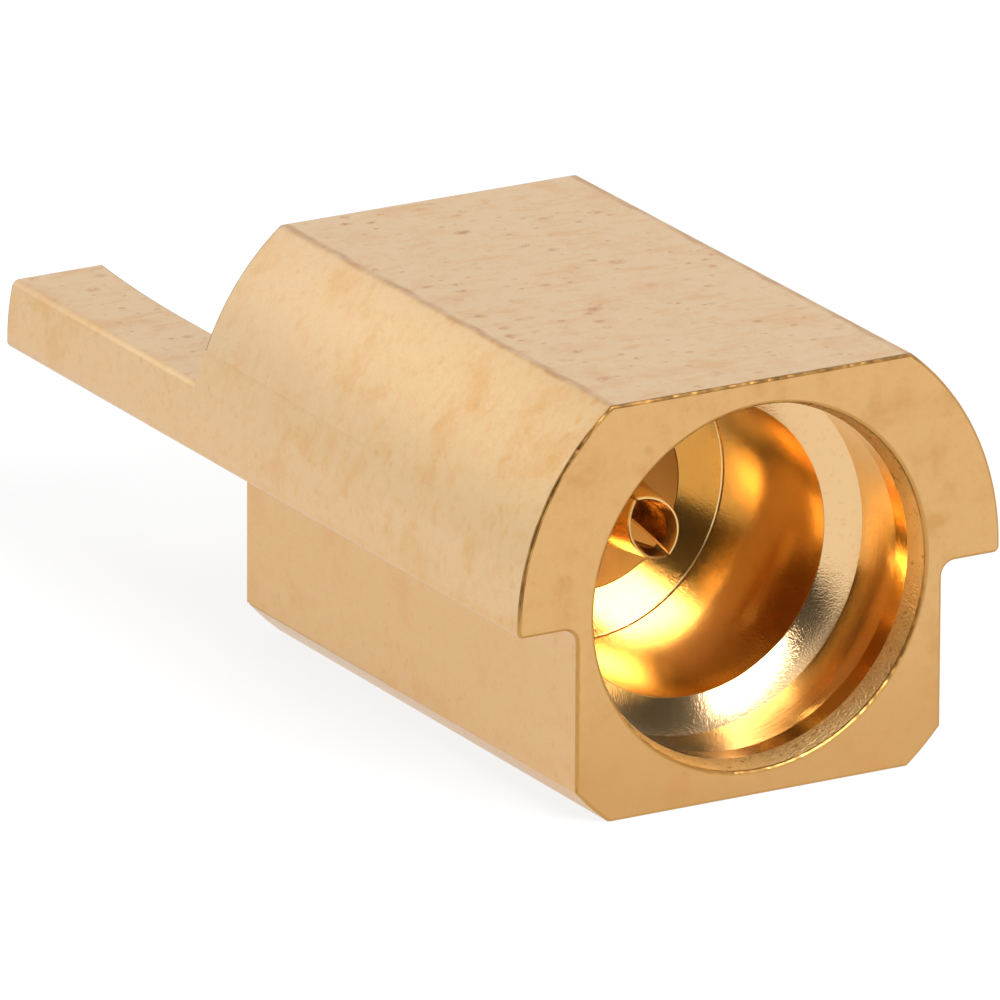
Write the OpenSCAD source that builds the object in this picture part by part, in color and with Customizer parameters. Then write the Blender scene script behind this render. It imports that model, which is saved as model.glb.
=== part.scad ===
// Edge-mount MMCX jack: a gold-plated body machined from round bar, a plastic
// bead pressed into it, and a slotted socket contact with a solder tail in the bead.
// The bore axis is Y, the mating face lies at y = 0 and the legs point along +Y.
// The circuit board's top face lies in the plane of the wing and leg undersides.

/* [Bar and flats] */
// Diameter of the round bar that the body is machined from
bar_d = 4.35; // [4.2:0.05:4.8]
// Height across the top and bottom flats
flats_h = 3.41; // [3.3:0.01:3.7]
// Rounding of the edges between the flats and the bar's round
flat_r = 0.15; // [0.05:0.01:0.25]
// Length of the body from the mating face to the rear face
body_l = 5.25; // [4:0.05:8]

/* [Wings] */
// Width of the body below the wings, which drops into the board's cut-out
lower_w = 3.3; // [3.2:0.02:3.6]
// Depth of the wing undersides below the bore axis
board_drop = 0.065; // [0:0.005:0.2]
// Fillet between a wing's underside and the lower body
notch_r = 0.12; // [0.05:0.01:0.2]
// Rounding of a wing's lower outer edge
wing_r = 0.06; // [0.02:0.01:0.1]

/* [Legs] */
// Length of the legs behind the rear face
leg_l = 3.05; // [2:0.05:5]
// Height of the legs above the board
leg_h = 0.565; // [0.4:0.005:0.8]
// Clear gap between the two legs
leg_gap = 2.77; // [2.4:0.01:3.1]
// Rounding of a leg's upper outer edge
leg_r = 0.1; // [0.05:0.01:0.15]
// Inward flare of a leg's inner face at its tip
flare_w = 0.1; // [0.02:0.01:0.2]
// Length of that flare along the leg
flare_l = 1.6; // [0.4:0.05:1.9]

/* [Mating bore] */
// Diameter of the mouth at the mating face
mouth_d = 3; // [2.98:0.01:3.1]
// Length of the tapered lead-in behind the mating face
lead_l = 0.2; // [0.1:0.01:0.3]
// Diameter of the entry land behind the lead-in
entry_d = 2.9; // [2.86:0.01:2.97]
// Length of the entry land
entry_l = 0.185; // [0.1:0.005:0.3]
// Diameter of the snap lip's crest
lip_d = 2.8; // [2.7:0.01:2.82]
// Depth of the lip's slanted front face
lip_l = 0.03; // [0.02:0.005:0.1]
// Diameter where the ramp behind the lip ends
ramp_d = 2.86; // [2.83:0.01:2.88]
// Length of that ramp
ramp_l = 0.385; // [0.2:0.005:0.5]
// Largest diameter of the snap groove, at the shoulder
groove_d = 2.95; // [2.9:0.01:3.1]
// Length of the groove from the ramp to the shoulder
groove_l = 0.14; // [0.08:0.01:0.3]
// Depth of the slanted shoulder
shoulder_l = 0.14; // [0.08:0.01:0.2]
// Diameter of the cavity behind the shoulder
cavity_d = 2.43; // [2:0.01:2.6]
// Length of the cavity from the shoulder to its floor
cavity_l = 1.57; // [1.3:0.01:2]

/* [Insulator] */
// Diameter of the bead
bead_d = 1.6; // [1.2:0.01:1.9]
// Radial clearance of the bead in the body
bead_fit = 0.01; // [0.005:0.005:0.02]

/* [Centre contact] */
// Outer diameter of the socket fingers
socket_d = 0.65; // [0.55:0.01:0.8]
// Wall of the socket fingers
finger_t = 0.07; // [0.05:0.01:0.1]
// Length of the fingers in front of the collar
finger_l = 0.81; // [0.6:0.01:1]
// Width of the slots at the collar, before the fingers are pinched
slot_w = 0.23; // [0.15:0.01:0.25]
// Gap left between the pinched finger tips
tip_gap = 0.02; // [0.01:0.005:0.1]
// Turn of the fingers about the bore axis in degrees
finger_turn = 30; // [0:5:90]
// Lip of the collar around the finger roots
collar_lip = 0.015; // [0.01:0.005:0.03]
// Thickness of the collar that seats on the bead
collar_t = 0.2; // [0.1:0.01:0.3]
// Diameter of the rod through the bead
rod_d = 0.46; // [0.3:0.01:0.55]
// Radial clearance of the rod in the bead
rod_fit = 0.01; // [0.005:0.005:0.02]
// Length of the solder tail behind the rear face
tail_l = 2; // [1:0.05:2.5]

/* [Hidden] */
$fn = 180;
gold = [0.90, 0.74, 0.50];
contact_gold = [0.86, 0.62, 0.28];
bead_brown = [0.70, 0.42, 0.16];

bar_r = bar_d / 2;
total_l = body_l + leg_l;
leg_top = leg_h - board_drop;
step_y = lead_l + entry_l;
lip_y = step_y + lip_l;
ramp_y = lip_y + ramp_l;
shoulder_y = ramp_y + groove_l;
cavity_y = shoulder_y + shoulder_l;
floor_y = cavity_y + cavity_l;
collar_y = floor_y - collar_t;
socket_r = socket_d / 2;
// Turn of each finger about its root that closes the slot to the tip gap
pinch = asin((slot_w - tip_gap) / 2 / finger_l);
// Stretch of a finger that is let into the collar
finger_root = collar_t / 3;
// Radius of the arc in plan that flares a leg's inner face
flare_r = (flare_l ^ 2 + flare_w ^ 2) / (2 * flare_w);
// Share of an edge rounding by which it reaches past the bar's round, so that the two arcs cross
round_cross = 1 / 25;
// Overrun of the cutting shapes past the faces that they open
over = 1;

// Extrudes an XZ section along Y
module along_y(from, to) {
  translate([0, to, 0]) rotate([90, 0, 0]) linear_extrude(to - from) children();
}

// Turns a profile of radius and depth about the bore axis
module turned() {
  rotate([-90, 0, 0]) rotate_extrude() children();
}

// A shape and its mirror image on the other side of the YZ plane
module both_sides() {
  for (side = [0, 1]) mirror([side, 0, 0]) children();
}

// Section of the milled notch under the right wing, with its filleted corner
module notch_section() {
  translate([lower_w / 2, -board_drop]) difference() {
    translate([0, -bar_d]) square(bar_d);
    difference() {
      translate([-over, -notch_r]) square([over + notch_r, notch_r + over]);
      translate([notch_r, -notch_r]) circle(notch_r);
    }
  }
}

// What lies beyond a rounded edge between the bar's round and a level face above the bore axis
module beyond_round(face_z, edge_r) {
  round_z = face_z - edge_r;
  round_x = sqrt((bar_r - edge_r + edge_r * round_cross) ^ 2 - round_z ^ 2);
  centre = [round_x, round_z];
  difference() {
    polygon([centre, [round_x, 2 * bar_d], 3 * centre]);
    translate(centre) circle(edge_r);
  }
}

// Section of the bar after its flats and board notches are milled
module bar_section() {
  difference() {
    intersection() {
      circle(bar_r);
      square([bar_d + over, flats_h], center = true);
    }
    both_sides() {
      notch_section();
      beyond_round(flats_h / 2, flat_r);
      mirror([0, 1]) beyond_round(flats_h / 2, flat_r);
      mirror([0, 1]) beyond_round(board_drop, wing_r);
    }
  }
}

// Section that the right leg keeps of the bar, with its upper outer edge rounded
module leg_section() {
  difference() {
    translate([leg_gap / 2 - flare_w, -board_drop]) square([bar_r, leg_h]);
    beyond_round(leg_top, leg_r);
  }
}

// Plan that the right leg keeps of the bar, flared inward at its tip
module leg_plan() {
  difference() {
    translate([0, body_l - over]) square([bar_d, leg_l + 2 * over]);
    translate([-over, body_l - 2 * over]) square([leg_gap / 2 + over, leg_l - flare_l + 2 * over]);
    translate([leg_gap / 2 - flare_r, total_l - flare_l]) circle(flare_r);
  }
}

module leg_window() {
  intersection() {
    along_y(body_l - over, total_l + over) leg_section();
    translate([0, 0, -bar_d]) linear_extrude(2 * bar_d) leg_plan();
  }
}

// Everything behind the rear face that is milled away to leave the legs
module rear_relief() {
  difference() {
    translate([-bar_d, body_l, -bar_d]) cube([2 * bar_d, leg_l + over, 2 * bar_d]);
    both_sides() leg_window();
  }
}

// Stepped mating bore: lead-in, entry land, snap lip, snap groove, slanted shoulder and cavity
module mating_bore() {
  turned() polygon([
    [0, -over], [mouth_d / 2, -over], [mouth_d / 2, 0],
    [entry_d / 2, lead_l], [entry_d / 2, step_y],
    [lip_d / 2, lip_y], [ramp_d / 2, ramp_y], [groove_d / 2, shoulder_y],
    [cavity_d / 2, cavity_y], [cavity_d / 2, floor_y], [0, floor_y]
  ]);
}

// Outer conductor: one machined piece with its wings and legs
module body() {
  color(gold) difference() {
    along_y(0, total_l) bar_section();
    rear_relief();
    mating_bore();
    along_y(floor_y - over / 4, body_l + over) circle(bead_d / 2 + bead_fit);
  }
}

// Bead that fills the body from the cavity floor to the rear face
module insulator() {
  color(bead_brown) along_y(floor_y, body_l) difference() {
    circle(bead_d / 2);
    circle(rod_d / 2 + rod_fit);
  }
}

// One spring finger, turned inward about its root on the collar
module finger() {
  translate([socket_r, collar_y, 0]) rotate([0, 0, -pinch]) along_y(-finger_l, finger_root)
    translate([-socket_r, 0]) difference() {
      circle(socket_r);
      circle(socket_r - finger_t);
      translate([slot_w / 2 - bar_d, -bar_d / 2]) square(bar_d);
    }
}

// Socket contact: two pinched fingers, a collar on the bead, a rod and a solder tail
module centre_contact() {
  color(contact_gold) rotate([0, -finger_turn, 0]) both_sides() finger();
  color(contact_gold) along_y(collar_y, floor_y) circle(socket_r + collar_lip);
  color(contact_gold) difference() {
    along_y(collar_y + collar_t / 2, body_l + tail_l) circle(rod_d / 2);
    translate([-rod_d, body_l, -board_drop - rod_d]) cube([2 * rod_d, tail_l + over, rod_d]);
  }
}

body();
insulator();
centre_contact();
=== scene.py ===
"""Studio scene of a gold-plated edge-mount coaxial jack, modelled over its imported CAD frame.

The pieces are shaped in millimetres, in the frame's own axes: the bore axis is Y, the mating face
lies at y = 0, the legs point along +Y and +Z is up. Each one is scaled to metres when it is done.
"""

from __future__ import annotations

import logging
import math
from collections.abc import Callable, Sequence
from dataclasses import dataclass, field
from enum import IntEnum
from typing import Protocol

import bpy
from mathutils import Matrix, Vector

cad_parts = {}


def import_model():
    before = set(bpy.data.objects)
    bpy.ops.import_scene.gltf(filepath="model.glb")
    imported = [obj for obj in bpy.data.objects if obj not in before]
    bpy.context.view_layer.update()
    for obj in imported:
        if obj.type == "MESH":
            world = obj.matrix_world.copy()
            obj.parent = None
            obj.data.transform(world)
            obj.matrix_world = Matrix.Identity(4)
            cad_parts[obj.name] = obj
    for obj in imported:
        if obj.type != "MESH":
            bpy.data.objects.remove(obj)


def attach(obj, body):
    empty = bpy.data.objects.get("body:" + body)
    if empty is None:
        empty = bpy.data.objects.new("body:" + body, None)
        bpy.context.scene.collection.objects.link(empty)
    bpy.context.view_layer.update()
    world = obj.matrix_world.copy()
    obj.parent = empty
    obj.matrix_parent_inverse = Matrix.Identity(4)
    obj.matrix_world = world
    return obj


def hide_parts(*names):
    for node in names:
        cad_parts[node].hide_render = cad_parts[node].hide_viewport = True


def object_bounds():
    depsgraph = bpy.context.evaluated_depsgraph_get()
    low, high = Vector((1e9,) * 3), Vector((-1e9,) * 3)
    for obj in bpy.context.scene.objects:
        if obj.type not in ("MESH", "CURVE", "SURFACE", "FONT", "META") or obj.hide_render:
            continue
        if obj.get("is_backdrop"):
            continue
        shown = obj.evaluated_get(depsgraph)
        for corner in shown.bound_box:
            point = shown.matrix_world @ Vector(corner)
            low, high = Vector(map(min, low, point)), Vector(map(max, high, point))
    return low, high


LOG = logging.getLogger("jack_scene")
MM = 0.001
CUT_GAP = 1e-5
BODY = "root"

Socket = bpy.types.NodeSocket
Colour = tuple[float, float, float]
Point = tuple[float, float, float]
EdgeTest = Callable[[Vector, Vector, float], bool]
FaceTest = Callable[[Vector, Vector], bool]


class Zone(IntEnum):
    """Material slots of the jack body, in the order of its mesh."""

    OUTSIDE = 0
    FRONT = 1
    LEAD = 2
    LAND = 3
    GROOVE = 4
    SHOULDER = 5
    CAVITY = 6
    EDGE = 7


class Finish(Protocol):
    """A surface finish, which builds its own material."""

    def build(self) -> bpy.types.Material:
        """Build the material."""


def deselect_everything() -> None:
    """Leave object mode with nothing selected."""
    if bpy.context.object and bpy.context.object.mode != "OBJECT":
        bpy.ops.object.mode_set(mode="OBJECT")
    bpy.ops.object.select_all(action="DESELECT")


@dataclass
class Workpiece:
    """A mesh on the bench, shaped in millimetres with edit-mode tools and modifiers.

    Attributes:
        obj: The Blender object that is being shaped.
    """

    obj: bpy.types.Object

    @classmethod
    def box(cls, name: str, low: Point, high: Point) -> Workpiece:
        """Add a cube and stretch it between two corners.

        Args:
            name: Name of the new object.
            low: Lowest corner in millimetres.
            high: Highest corner in millimetres.

        Returns:
            The new workpiece.
        """
        deselect_everything()
        centre = (Vector(low) + Vector(high)) / 2
        bpy.ops.mesh.primitive_cube_add(size=1, location=centre)
        piece = cls(bpy.context.object)
        piece.obj.name = name
        piece.obj.scale = Vector(high) - Vector(low)
        bpy.ops.object.transform_apply(location=True, rotation=True, scale=True)
        return piece

    @classmethod
    def turned(cls, name: str, profile: Sequence[tuple[float, float]], steps: int) -> Workpiece:
        """Turn a solid about the Y axis by extruding and resizing a disc along its profile.

        Args:
            name: Name of the new object.
            profile: Radius and depth of each ring, from the first end cap to the last.
            steps: Number of corners of each ring.

        Returns:
            The new workpiece.
        """
        deselect_everything()
        radius, depth = profile[0]
        bpy.ops.mesh.primitive_circle_add(
            vertices=steps,
            radius=radius,
            fill_type="NGON",
            location=(0, depth, 0),
            rotation=(math.pi / 2, 0, 0),
        )
        piece = cls(bpy.context.object)
        piece.obj.name = name
        bpy.ops.object.transform_apply(location=True, rotation=True, scale=True)
        piece.open_mesh()
        for next_radius, next_depth in profile[1:]:
            bpy.ops.mesh.extrude_region_move(TRANSFORM_OT_translate={"value": (0, next_depth - depth, 0)})
            share = next_radius / radius
            bpy.ops.transform.resize(value=(share, 1, share), center_override=(0, next_depth, 0))
            radius, depth = next_radius, next_depth
        bpy.ops.mesh.select_all(action="SELECT")
        bpy.ops.mesh.normals_make_consistent(inside=False)
        bpy.ops.object.mode_set(mode="OBJECT")
        return piece

    def activate(self) -> None:
        """Make this the only selected object and the active one."""
        deselect_everything()
        self.obj.select_set(True)
        bpy.context.view_layer.objects.active = self.obj

    def open_mesh(self) -> None:
        """Enter edit mode with the whole mesh selected."""
        self.activate()
        bpy.ops.object.mode_set(mode="EDIT")
        bpy.ops.mesh.select_all(action="SELECT")

    def slice_off(self, point: Point, normal: Point) -> None:
        """Cut the mesh by a plane, drop what lies on the normal's side and close the cut.

        Args:
            point: A point of the plane.
            normal: The plane's normal, towards what is dropped.
        """
        self.open_mesh()
        bpy.ops.mesh.bisect(
            plane_co=point, plane_no=normal, use_fill=True, clear_outer=True, threshold=CUT_GAP
        )
        bpy.ops.object.mode_set(mode="OBJECT")

    def score(self, point: Point, normal: Point) -> None:
        """Split the faces along a plane and keep both sides.

        Args:
            point: A point of the plane.
            normal: The plane's normal.
        """
        self.open_mesh()
        bpy.ops.mesh.bisect(plane_co=point, plane_no=normal, threshold=CUT_GAP)
        bpy.ops.object.mode_set(mode="OBJECT")

    def apply_boolean(self, other: Workpiece, operation: str) -> None:
        """Apply a boolean with another workpiece, which is used up.

        Args:
            other: The cutter or the part that is added.
            operation: DIFFERENCE or UNION.
        """
        self.activate()
        boolean = self.obj.modifiers.new("boolean", "BOOLEAN")
        boolean.operation = operation
        boolean.solver = "EXACT"
        boolean.object = other.obj
        bpy.ops.object.modifier_apply(modifier=boolean.name)
        bpy.data.objects.remove(other.obj, do_unlink=True)

    def cut(self, other: Workpiece) -> None:
        """Take another workpiece's volume away."""
        self.apply_boolean(other, "DIFFERENCE")

    def fuse(self, other: Workpiece) -> None:
        """Add another workpiece's volume."""
        self.apply_boolean(other, "UNION")

    def shift(self, way: Point) -> None:
        """Move the mesh.

        Args:
            way: Way in millimetres.
        """
        self.open_mesh()
        bpy.ops.transform.translate(value=way)
        bpy.ops.object.mode_set(mode="OBJECT")

    def turn(self, angle: float, axis: str, centre: Point = (0, 0, 0)) -> None:
        """Turn the mesh about a line through a point.

        Args:
            angle: Angle in radians by the right-hand rule.
            axis: X, Y or Z.
            centre: A point on the line.
        """
        self.open_mesh()
        bpy.ops.transform.rotate(value=-angle, orient_axis=axis, orient_type="GLOBAL", center_override=centre)
        bpy.ops.object.mode_set(mode="OBJECT")

    def copy(self, name: str) -> Workpiece:
        """Duplicate the workpiece with a mesh of its own.

        Args:
            name: Name of the copy.

        Returns:
            The copy.
        """
        self.activate()
        bpy.ops.object.duplicate()
        twin = Workpiece(bpy.context.object)
        twin.obj.name = name
        return twin

    def pick_edges(self, test: EdgeTest) -> int:
        """Select edges by their ends and the angle between their faces, and stay in edit mode.

        Args:
            test: Takes both ends in millimetres and the angle in radians, and says yes or no.

        Returns:
            The number of edges selected.
        """
        self.activate()
        bpy.ops.object.mode_set(mode="EDIT")
        bpy.ops.mesh.select_mode(type="EDGE")
        bpy.ops.mesh.select_all(action="DESELECT")
        bpy.ops.object.mode_set(mode="OBJECT")
        mesh = self.obj.data
        normals: dict[tuple[int, int], list[Vector]] = {}
        for face in mesh.polygons:
            for key in face.edge_keys:
                normals.setdefault(key, []).append(face.normal)
        count = 0
        for edge in mesh.edges:
            sides = normals.get(edge.key, [])
            angle = sides[0].angle(sides[1], 0.0) if len(sides) == 2 else math.pi
            ends = [mesh.vertices[i].co for i in edge.vertices]
            edge.select = test(ends[0], ends[1], angle)
            count += edge.select
        bpy.ops.object.mode_set(mode="EDIT")
        return count

    def round_edges(self, test: EdgeTest, width: float, segments: int, slot: int = -1) -> None:
        """Bevel the edges that a test picks.

        Args:
            test: Test for pick_edges.
            width: Bevel offset in millimetres.
            segments: Number of bevel segments.
            slot: Material slot of the bevel, or -1 for that of its neighbours.
        """
        count = self.pick_edges(test)
        if count:
            bpy.ops.mesh.bevel(
                offset=width,
                offset_type="OFFSET",
                segments=segments,
                profile=0.5,
                material=slot,
                clamp_overlap=False,
            )
        bpy.ops.object.mode_set(mode="OBJECT")
        LOG.info("%s: %d edges rounded by %.3f mm", self.obj.name, count, width)

    def coat(self, finishes: Sequence[Finish]) -> None:
        """Fill the material slots.

        Args:
            finishes: The finishes, in the order of their slots.
        """
        self.obj.data.materials.clear()
        for finish in finishes:
            self.obj.data.materials.append(finish.build())

    def assign(self, slot: int, test: FaceTest) -> None:
        """Give the faces that a test picks to a material slot.

        Args:
            slot: Material slot.
            test: Takes a face's centre and normal, and says yes or no.
        """
        for face in self.obj.data.polygons:
            if test(face.center, face.normal):
                face.material_index = slot

    def clean(self, gap: float = 1e-4) -> None:
        """Merge doubled points.

        Args:
            gap: Distance in millimetres under which points are merged.
        """
        self.open_mesh()
        bpy.ops.mesh.remove_doubles(threshold=gap)
        bpy.ops.mesh.dissolve_degenerate(threshold=gap)
        bpy.ops.object.mode_set(mode="OBJECT")

    def part_bands(self) -> None:
        """Keep the shading crisp where two finishes meet, but not along the bevels of the edges."""
        mesh = self.obj.data
        slots: dict[tuple[int, int], set[int]] = {}
        for face in mesh.polygons:
            for key in face.edge_keys:
                slots.setdefault(key, set()).add(face.material_index)
        for edge in mesh.edges:
            if len(slots[edge.key]) > 1 and Zone.EDGE not in slots[edge.key]:
                edge.use_edge_sharp = True

    def deliver(self, node: str, slot: str, smooth_angle: float = math.radians(20)) -> bpy.types.Object:
        """Scale the mesh to metres, smooth its shading and let it stand for a CAD node.

        Args:
            node: The CAD node that the piece replaces.
            slot: The record's material slot; not used.
            smooth_angle: Edges sharper than this stay sharp in the shading.

        Returns:
            The finished object.
        """
        self.activate()
        self.obj.scale = (MM, MM, MM)
        bpy.ops.object.transform_apply(location=True, rotation=True, scale=True)
        bpy.ops.object.shade_smooth_by_angle(angle=smooth_angle)
        self.part_bands()
        weighted = self.obj.modifiers.new("weighted normals", "WEIGHTED_NORMAL")
        weighted.keep_sharp = True
        weighted.weight = 100
        bpy.ops.object.modifier_apply(modifier=weighted.name)
        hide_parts(node)
        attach(self.obj, BODY)
        LOG.info("%s: %d faces, stands for %s", self.obj.name, len(self.obj.data.polygons), node)
        return self.obj


class Shader:
    """Node tree of one material, with short calls for nodes and links."""

    def __init__(self, name: str) -> None:
        """Start a material with an empty node tree.

        Args:
            name: Name of the material.
        """
        self.material = bpy.data.materials.new(name)
        self.material.use_nodes = True
        self.tree = self.material.node_tree
        self.tree.nodes.clear()
        self.output = self.node("ShaderNodeOutputMaterial")

    def node(self, kind: str, **values: object) -> bpy.types.Node:
        """Add a node and set its properties.

        Args:
            kind: Blender's node type.
            values: Properties by name.

        Returns:
            The new node.
        """
        made = self.tree.nodes.new(kind)
        for key, value in values.items():
            setattr(made, key, value)
        return made

    def link(self, source: Socket, target: Socket) -> None:
        """Join two sockets."""
        self.tree.links.new(source, target)

    def millimetres(self, scale: Point = (1, 1, 1)) -> Socket:
        """Object coordinates in millimetres.

        Args:
            scale: Further stretch along each axis.

        Returns:
            The vector socket.
        """
        place = self.node("ShaderNodeTexCoord")
        mapping = self.node("ShaderNodeMapping")
        mapping.inputs["Scale"].default_value = [s / MM for s in scale]
        self.link(place.outputs["Object"], mapping.inputs["Vector"])
        return mapping.outputs["Vector"]

    def split(self, vector: Socket) -> bpy.types.Node:
        """Separate a vector into X, Y and Z.

        Args:
            vector: Vector socket.

        Returns:
            The node that separates it.
        """
        parts = self.node("ShaderNodeSeparateXYZ")
        self.link(vector, parts.inputs["Vector"])
        return parts

    def noise(self, where: Socket, scale: float, detail: float = 3, roughness: float = 0.55) -> Socket:
        """Fractal noise.

        Args:
            where: Vector socket.
            scale: Repeats for each millimetre.
            detail: Number of octaves.
            roughness: Share of each further octave.

        Returns:
            The value socket.
        """
        noise = self.node("ShaderNodeTexNoise")
        noise.inputs["Scale"].default_value = scale
        noise.inputs["Detail"].default_value = detail
        noise.inputs["Roughness"].default_value = roughness
        self.link(where, noise.inputs["Vector"])
        return noise.outputs["Fac"]

    def ramp(self, value: Socket, low: float, high: float, to: tuple[float, float] = (0, 1)) -> Socket:
        """Map a stretch of values smoothly and clamp what lies outside.

        Args:
            value: Value socket.
            low: Value that maps to the first end.
            high: Value that maps to the second end.
            to: The two ends.

        Returns:
            The mapped value socket.
        """
        mapped = self.node("ShaderNodeMapRange", interpolation_type="SMOOTHSTEP")
        mapped.inputs["From Min"].default_value = low
        mapped.inputs["From Max"].default_value = high
        mapped.inputs["To Min"].default_value = to[0]
        mapped.inputs["To Max"].default_value = to[1]
        self.link(value, mapped.inputs["Value"])
        return mapped.outputs["Result"]

    def math(self, operation: str, first: Socket, second: Socket | float = 0.0) -> Socket:
        """Join two values by an operation.

        Args:
            operation: Blender's name of the operation.
            first: First value socket.
            second: Second value socket or a number, for an operation that takes two.

        Returns:
            The result's socket.
        """
        made = self.node("ShaderNodeMath", operation=operation)
        self.link(first, made.inputs[0])
        if isinstance(second, Socket):
            self.link(second, made.inputs[1])
        else:
            made.inputs[1].default_value = second
        return made.outputs[0]

    def times(self, first: Socket, second: Socket | float) -> Socket:
        """Multiply two values."""
        return self.math("MULTIPLY", first, second)

    def blend(self, share: Socket, first: Socket | Colour, second: Socket | Colour) -> Socket:
        """Mix two colours.

        Args:
            share: Share of the second colour.
            first: Colour or its socket.
            second: Colour or its socket.

        Returns:
            The mixed colour's socket.
        """
        mix = self.node("ShaderNodeMix", data_type="RGBA")
        self.link(share, mix.inputs["Factor"])
        for colour, name in ((first, "A"), (second, "B")):
            target = next(s for s in mix.inputs if s.name == name and s.type == "RGBA")
            if isinstance(colour, Socket):
                self.link(colour, target)
            else:
                target.default_value = (*colour, 1)
        return next(s for s in mix.outputs if s.type == "RGBA")

    def dots(self, where: Socket, scale: float, radius: float, share: float) -> Socket:
        """Scattered soft dots of uneven size.

        Args:
            where: Vector socket.
            scale: Cells for each millimetre.
            radius: Radius of the largest dots in cells.
            share: Share of the cells that hold a dot.

        Returns:
            A value socket, 1 in the dots and 0 outside.
        """
        cells = self.node("ShaderNodeTexVoronoi")
        cells.inputs["Scale"].default_value = scale
        self.link(where, cells.inputs["Vector"])
        chance = self.node("ShaderNodeSeparateColor")
        self.link(cells.outputs["Color"], chance.inputs["Color"])
        size = self.ramp(chance.outputs["Green"], 0.0, 1.0, (0.35, 1.0))
        near = self.ramp(self.math("DIVIDE", cells.outputs["Distance"], size), radius, radius * 0.2)
        return self.times(near, self.ramp(chance.outputs["Red"], 1.0 - share, 1.02 - share))

    def axis_distance(self, parts: bpy.types.Node) -> Socket:
        """Distance from the bore axis in millimetres.

        Args:
            parts: Node that separates the place in millimetres.

        Returns:
            The value socket.
        """
        flat = self.node("ShaderNodeCombineXYZ")
        self.link(parts.outputs["X"], flat.inputs["X"])
        self.link(parts.outputs["Z"], flat.inputs["Z"])
        radius = self.node("ShaderNodeVectorMath", operation="LENGTH")
        self.link(flat.outputs["Vector"], radius.inputs[0])
        return radius.outputs["Value"]

    def bump(self, height: Socket, depth: float, below: Socket | None = None) -> Socket:
        """Bump a surface by a height map.

        Args:
            height: Height socket, from 0 to 1.
            depth: Depth of the bump in millimetres.
            below: Normal socket of another bump that this one lies on.

        Returns:
            The normal socket.
        """
        bump = self.node("ShaderNodeBump")
        bump.inputs["Distance"].default_value = depth * MM
        self.link(height, bump.inputs["Height"])
        if below is not None:
            self.link(below, bump.inputs["Normal"])
        return bump.outputs["Normal"]

    def surface(self, **sockets: object) -> bpy.types.Node:
        """Add the surface shader and send it to the output.

        Args:
            sockets: Numbers or colours by socket name, with an underscore for each space.

        Returns:
            The Principled node.
        """
        made = self.node("ShaderNodeBsdfPrincipled")
        for key, value in sockets.items():
            made.inputs[key.replace("_", " ")].default_value = value
        self.link(made.outputs["BSDF"], self.output.inputs["Surface"])
        return made


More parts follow.
